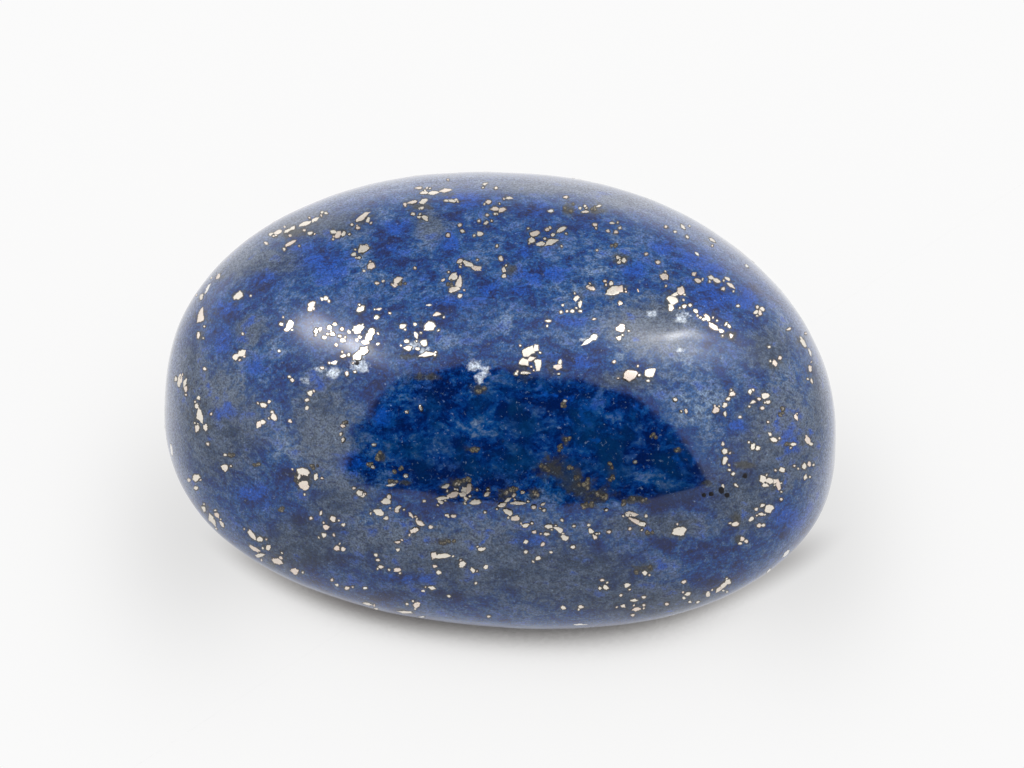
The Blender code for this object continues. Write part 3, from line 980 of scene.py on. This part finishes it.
def unseen_grains():
    """Points of all rings for grains that are thrown in clusters onto the sides that the picture doesn't show."""
    middles = grain_dice.normal(size=(UNSEEN_CLUSTERS, 1, 3)) * STONE_STRETCH
    middles = onto_surface(middles) + grain_dice.normal(size=(UNSEEN_CLUSTERS, UNSEEN_IN_CLUSTER, 3)) * UNSEEN_SPREAD
    middles = onto_surface(middles.reshape(-1, 3))
    squares = outward(middles)
    hidden = (squares @ TO_CAMERA < RIM_FADE[0]) & (middles[:, 2] > flat_level + CLEAR_OF_FLAT)
    middles, squares = middles[hidden], squares[hidden]
    low, high = UNSEEN_LENGTHS
    lengths = low * (high / low) ** (grain_dice.random(len(middles)) ** SMALL_ARE_COMMON)
    sizes = np.stack([lengths, lengths * grain_dice.uniform(*UNSEEN_WIDTHS, len(middles))], axis=1)
    flat = with_skirt(turned_outlines(sizes, grain_dice.uniform(0, math.pi, len(middles))), SKIRT_WIDTH)
    first = np.cross(squares, (0, 0, 1))
    first /= np.linalg.norm(first, axis=1, keepdims=True)
    second = np.cross(squares, first)
    return middles[:, None] + flat[..., :1] * first[:, None] + flat[..., 1:] * second[:, None]


# %% Pyrite grains
bright_grains = [grain for grains in PYRITE.values() for grain in grains]
grain_kinds = {
    "bright": picture_grains(bright_grains + splinters(bright_grains)),
    "tarnished": picture_grains(crumbs(TARNISHED)),
    "pale": picture_grains(SLIVERS_AND_GLINTS),
    "black": picture_grains(BLACK),
    "unseen": unseen_grains(),
}
grain_points = skin(np.concatenate(list(grain_kinds.values())))
grain_count, ring_size = len(grain_points), 2 * CORNERS
heights = np.repeat([0, 0, 0, -SKIRT_SUNK, -ROOT_DEPTH, -ROOT_DEPTH], [1, *[ring_size] * 4, 1])
proud = (PROUD + PROUD_STEP * (np.arange(grain_count) % 4))[:, None]
heights = np.where(heights == 0, proud, heights)
grain_points = grain_points + outward(grain_points) * heights[..., None] + CORE

one = np.arange(ring_size)
after = (one + 1) % ring_size
starts = [1 + ring_size * ring for ring in range(4)]
last = 1 + 4 * ring_size
faces = [(0, a, b) for a, b in zip(starts[0] + one, starts[0] + after)]
for inner, outer in zip(starts, starts[1:]):
    faces += list(zip(inner + one, outer + one, outer + after, inner + after))
faces += [(last, b, a) for a, b in zip(starts[3] + one, starts[3] + after)]
points_each = last + 1
grain_mesh = bpy.data.meshes.new("pyrite_grains")
all_faces = [[int(corner) + grain * points_each for corner in face] for grain in range(grain_count) for face in faces]
grain_mesh.from_pydata(grain_points.reshape(-1, 3).tolist(), [], all_faces)
print({kind: len(points) for kind, points in grain_kinds.items()}, "grains,", len(all_faces), "faces")

# %% [markdown]
# Values stored on the grains tell the material which kind each one is and where its skirt lies. The edge between
# top and skirt is marked sharp, so that the flat top mirrors the tent like the stone round it.

# %% Values on the grains
ring_of_point = np.repeat([0, 1, 2, 3, 4, 5], [1, *[ring_size] * 4, 1])
kind_of_grain = np.repeat(list(grain_kinds), [len(points) for points in grain_kinds.values()])
grain_values = {
    "skirt": np.tile(ring_of_point >= 3, grain_count).astype(float),
    "warmth": np.repeat(grain_dice.random(grain_count), points_each),
}
for name, kind in (("tarnish", "tarnished"), ("paleness", "pale"), ("blackness", "black")):
    grain_values[name] = np.repeat(kind_of_grain == kind, points_each).astype(float)
for name, values in grain_values.items():
    grain_mesh.attributes.new(name, "FLOAT", "POINT").data.foreach_set("value", values)
ends = np.empty(2 * len(grain_mesh.edges), dtype=int)
grain_mesh.edges.foreach_get("vertices", ends)
edge_rings = np.tile(ring_of_point, grain_count)[ends.reshape(-1, 2)]
grain_mesh.shade_smooth()
sharp = grain_mesh.attributes.new("sharp_edge", "BOOLEAN", "EDGE")
sharp.data.foreach_set("value", (edge_rings >= 2).all(axis=1) & (edge_rings[:, 0] == edge_rings[:, 1]))
grain_mesh.update()
pyrite_grains = bpy.data.objects.new("pyrite_grains", grain_mesh)
bpy.context.scene.collection.objects.link(pyrite_grains)
print("grains marked:", {name: int(values.sum() / points_each) for name, values in grain_values.items()})

# %% [markdown]
# ## Pyrite
# Pyrite is paler than brass: a cream that leans to gold or rose. It is a metal to light, so its base colour is
# what it mirrors. Grains that never took the polish stay dull brown, and the same polish group as on the stone
# gives all of them their sheen.

# %% Pyrite material
PYRITE_CREAM = (0.80, 0.745, 0.665, 1)
PYRITE_ROSE = (0.78, 0.665, 0.590, 1)
PYRITE_TARNISH = (0.20, 0.175, 0.12, 1)
# The white of the slivers, partly pale mineral and partly a painted glint.
PYRITE_SLIVER_AND_GLINT = (0.86, 0.84, 0.82, 1)
SEAM_BROWN = (0.024, 0.023, 0.026, 1)
SHINE_LOST = 0.85
SEAM_STRENGTH = 0.92
pyrite, pyrite_tree, pyrite_shader = new_material("pyrite")


def build_pyrite(tree, shader):
    """Cream to rose metal, dull where it is tarnished, with a dark seam on the skirt."""
    place = millimetres(tree)
    speckle = noise(tree, place, 9.0, 3.0, shift=5.0)
    rosy = add_up(tree, stored(tree, "warmth"), [(speckle, 0.8)])
    colour = mix_colours(tree, fade(tree, rosy, 0.7, 1.5), PYRITE_CREAM, PYRITE_ROSE)
    dull = fade(tree, add_up(tree, speckle, [(stored(tree, "tarnish"), 0.5)]), 0.6, 0.96)
    crumbly = fade(tree, noise(tree, place, 16.0, 3.0, 0.7, shift=41.0), 0.38, 0.62)
    colour = mix_colours(tree, dull, colour, mix_colours(tree, crumbly, SEAM_BROWN, PYRITE_TARNISH))
    # Slivers turn white, partly as painted glints.
    colour = mix_colours(tree, stored(tree, "paleness"), colour, PYRITE_SLIVER_AND_GLINT)
    colour = mix_colours(tree, stored(tree, "blackness"), colour, SEAM_BROWN)
    seam = add_up(tree, stored(tree, "skirt"), [(noise(tree, place, 12.0, 2.0, shift=47.0), 0.9)])
    colour = mix_colours(tree, fade(tree, seam, 0.6, 0.8, 0.0, SEAM_STRENGTH), colour, SEAM_BROWN)
    tree.links.new(colour, shader.inputs["Base Color"])
    tree.links.new(add_up(tree, 1.0, [(dull, -SHINE_LOST)]), shader.inputs["Metallic"])
    add_polish(tree, shader, place, Peel=0.6, Scratches=0.25, Gloss_Spots=0.1, Gloss=0.27)


build_pyrite(pyrite_tree, pyrite_shader)
grain_mesh.materials.append(pyrite)
print("pyrite:", len(pyrite_tree.nodes), "nodes")

# %% [markdown]
# ## The studio
# The stone stands on a white sheet inside a white tent. The polish mirrors the tent, and the dark half-moon on
# its front is the opening that the camera looks through.

# %% Floor
FLOOR_SIZE = 4.0
floor_mesh = bpy.data.meshes.new("floor")
floor_form = bmesh.new()
bmesh.ops.create_grid(floor_form, x_segments=1, y_segments=1, size=FLOOR_SIZE / 2)
floor_form.to_mesh(floor_mesh)
floor_form.free()
floor = bpy.data.objects.new("floor", floor_mesh)
bpy.context.scene.collection.objects.link(floor)
print("floor:", FLOOR_SIZE, "m across")

# %% [markdown]
# A plain white sheet under the tent would turn out grey or burnt out, depending on the exposure. This one gives
# off its own light, by how much of the tent can be seen from each spot, so it is pale everywhere and still has the
# soft dark seam along the stone's foot.

# %% Lit sheet
# How bright the sheet is where this share of the tent can be seen from it. Dim light is a little warmer.
SHEET_GLOW = {
    0.0: 0.05, 0.12: 0.08, 0.178: 0.16, 0.198: 0.29, 0.22: 0.49, 0.3: 0.75, 0.38: 0.86, 0.55: 0.905, 0.78: 0.935,
    0.9: 0.95, 1.0: 0.965,
}
SHEET_GREEN = 0.965
SHEET_BLUE = 0.95
# The stone keeps a share of the light from the sheet to its left and right, in two soft ovals. In millimetres.
SHADE_SHARE = 0.17
SHADE_ASIDE = 13.0
SHADE_WIDTH = 3.6
SHADE_LENGTH = 7.5
# Close in front of the stone lies a narrow brown shadow, strongest to the left and right of the contact. It
# follows an oval, given by its middle and its half sizes in millimetres.
FOOT_MIDDLE = (1.0, 3.5)
FOOT_HALVES = (13.2, 9.6)
FOOT_FADE = 1.14
FOOT_SIDES = (1.5, 7.5)
FOOT_FRONT = (-2.5, 0.5)
FOOT_SHADE = 0.5
FOOT_BROWN = (0.055, 0.045, 0.042, 1)
print("foot shadow:", [2 * half for half in FOOT_HALVES], "mm")

# %% Light of the sheet
sheet, sheet_tree, sheet_shader = new_material("lit_sheet")


def sheet_light(tree):
    """The colour of the sheet's light."""
    openness = node(tree, "ShaderNodeAmbientOcclusion", {"Distance": 0.0}, samples=24).outputs["AO"]
    warm_glow = {
        share: (glow, glow * (SHEET_GREEN + (1 - SHEET_GREEN) * glow), glow * (SHEET_BLUE + (1 - SHEET_BLUE) * glow))
        for share, glow in SHEET_GLOW.items()
    }
    glow = colour_run(tree, openness, warm_glow)

    place = millimetres(tree)
    spot = node(tree, "ShaderNodeSeparateXYZ", {"Vector": place}).outputs
    aside = math_node(tree, "ABSOLUTE", spot["X"])
    aside = add_up(tree, -SHADE_ASIDE / SHADE_WIDTH, [(aside, 1 / SHADE_WIDTH)])
    along = math_node(tree, "DIVIDE", spot["Y"], SHADE_LENGTH)
    shade = add_up(tree, 0.0, [(times(tree, aside, aside), -1.0), (times(tree, along, along), -1.0)])
    shade = times(tree, math_node(tree, "EXPONENT", shade), SHADE_SHARE)
    glow = mix_colours(tree, shade, glow, NO_LIGHT)

    from_middle = vector_node(tree, "SUBTRACT", place, (*FOOT_MIDDLE, 0))
    out = vector_node(tree, "LENGTH", vector_node(tree, "DIVIDE", from_middle, (*FOOT_HALVES, 1)))
    beside = node(tree, "ShaderNodeSeparateXYZ", {"Vector": from_middle}).outputs["X"]
    beside = fade(tree, math_node(tree, "ABSOLUTE", beside), *FOOT_SIDES)
    front = fade(tree, spot["Y"], *FOOT_FRONT, 1.0, 0.0)
    foot = times(tree, fade(tree, out, 1.0, FOOT_FADE, FOOT_SHADE, 0.0), beside, front)
    return mix_colours(tree, foot, glow, FOOT_BROWN)


sheet_shader.inputs["Base Color"].default_value = NO_LIGHT
sheet_shader.inputs["Specular IOR Level"].default_value = 0.0
sheet_shader.inputs["Emission Strength"].default_value = 1.0
sheet_tree.links.new(sheet_light(sheet_tree), sheet_shader.inputs["Emission Color"])
floor.data.materials.append(sheet)
print("sheet:", len(sheet_tree.nodes), "nodes")

# %% [markdown]
# The tent could be a mesh with lamps behind it, but then every edge would need matching by trial. Here it is the
# world itself, so it is written as directions that can be read off the stone's reflections: the turn from the
# camera's side towards the right, and the rise above the table, both in degrees.

# %% Tent with its opening
TENT_GLOW = 1.3
# The cloth is brighter at the table, up to this rise.
HORIZON_BOOST = 0.3
HORIZON_RISE = 35
# Behind the stone the cloth is dimmer, fully within the first angle of the middle and not at all past the second.
DIM_MIDDLE = (180, 62)
DIM_ANGLES = (15, 48)
DIM_SHARE = 0.4
OPENING_GLOW = 0.015
OPENING_TURN = -3.5
OPENING_HALF_WIDTH = 31.5
OPENING_RISE = 59
# The opening's right side leans in: it loses this much of its width for each degree of rise.
OPENING_LEAN = 0.28
# Its top slopes down to the right: from this turn on it loses this much height for each degree.
OPENING_SLOPE = (-10, 0.3)
OPENING_SQUARENESS = 5.0
OPENING_SOFTNESS = 0.15

world = bpy.data.worlds.new("tent")
bpy.context.scene.world = world
world.use_nodes = True
tent = world.node_tree
tent.nodes.clear()
sight = node(tent, "ShaderNodeTexCoord").outputs["Generated"]


def direction(turn, rise):
    """The unit vector with this turn and rise."""
    return facing(turn - 90, rise)


print("the tent has an opening that is", 2 * OPENING_HALF_WIDTH, "degrees wide")


# %% Shape of the opening
def opening(tree):
    """Below 1 in the opening and above 1 on the cloth, and the rise of the line of sight."""
    split = node(tree, "ShaderNodeSeparateXYZ", {"Vector": sight}).outputs
    turn = math_node(tree, "ARCTAN2", split["X"], times(tree, split["Y"], -1.0))
    turn = math_node(tree, "DEGREES", turn)
    rise = math_node(tree, "DEGREES", math_node(tree, "ARCSINE", split["Z"]))
    risen = math_node(tree, "MAXIMUM", rise, 0.0)
    beside = add_up(tree, -OPENING_TURN, [(turn, 1.0), (risen, OPENING_LEAN / 2)])
    half_width = add_up(tree, OPENING_HALF_WIDTH, [(risen, -OPENING_LEAN / 2)])
    beside = math_node(tree, "DIVIDE", math_node(tree, "ABSOLUTE", beside), half_width)
    past = math_node(tree, "MAXIMUM", math_node(tree, "SUBTRACT", turn, OPENING_SLOPE[0]), 0.0)
    above = math_node(tree, "DIVIDE", risen, add_up(tree, OPENING_RISE, [(past, -OPENING_SLOPE[1])]))
    beside, above = (math_node(tree, "POWER", share, OPENING_SQUARENESS) for share in (beside, above))
    return math_node(tree, "ADD", beside, above), rise


arch, rise = opening(tent)
print("nodes in the tent so far:", len(tent.nodes))

# %% Cloth
outside = fade(tent, arch, 1 - OPENING_SOFTNESS, 1 + OPENING_SOFTNESS)
dim = vector_node(tent, "DOT_PRODUCT", sight, Vector(direction(*DIM_MIDDLE)))
inner, outer = (math.cos(math.radians(angle)) for angle in DIM_ANGLES)
dim = fade(tent, dim, outer, inner, 1.0, 1 - DIM_SHARE)
cloth = times(tent, fade(tent, rise, 0, HORIZON_RISE, TENT_GLOW * (1 + HORIZON_BOOST), TENT_GLOW), dim)
print("cloth: brightest at", TENT_GLOW * (1 + HORIZON_BOOST))

# %% Lamps behind the tent's cloth
# Each glow on the cloth runs between two ends, given as a turn and a rise in degrees. Then come half its width in
# degrees and how bright it is.
GLOWS = {
    "left_haze": ((-96, 50), (-48, 54), 9, 3),
    "left_streak": ((-88, 52), (-52, 54), 3.4, 11),
    "left_core": ((-64, 56), (-54, 52), 3.5, 13),
    "right_haze": ((40, 68), (112, 48), 15, 3),
    "right_mist": ((32, 68), (86, 74), 12, 5.5),
    "right_streak": ((56, 77), (90, 67), 1.8, 15),
}


def soft_line(tree, first_end, second_end, half_width):
    """A glow along a line between two directions, 1 in its middle."""
    ends = [direction(*end) for end in (first_end, second_end)]
    middle = (ends[0] + ends[1]) / np.linalg.norm(ends[0] + ends[1])
    along = ends[1] - ends[0]
    half_length = np.linalg.norm(along) / 2
    along = along / (2 * half_length)
    across = np.cross(middle, along)
    away = 0.0
    for axis, size in ((along, half_length), (across, math.radians(half_width))):
        share = vector_node(tree, "DOT_PRODUCT", sight, Vector(axis / size))
        away = math_node(tree, "MULTIPLY_ADD", share, share, away)
    ahead = math_node(tree, "GREATER_THAN", vector_node(tree, "DOT_PRODUCT", sight, Vector(middle)), 0.0)
    return times(tree, math_node(tree, "EXPONENT", times(tree, away, -1.0)), ahead)


light_level = add_up(tent, cloth, [(soft_line(tent, *line), brightness) for *line, brightness in GLOWS.values()])
light_level = math_node(tent, "MULTIPLY_ADD", outside, light_level, OPENING_GLOW)
background = node(tent, "ShaderNodeBackground", {"Strength": light_level})
node(tent, "ShaderNodeOutputWorld", {"Surface": background.outputs["Background"]})
print("behind the cloth are", len(GLOWS), "glows")

# %% [markdown]
# ## Hand over
# Both pieces ride on the stone's one body and take the place of its plain solid. The floor is only a stage.

# %% Hand over
for piece, slot in ((stone, "lapis"), (pyrite_grains, "pyrite")):
    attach(piece, "root")
    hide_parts("lapis_stone")
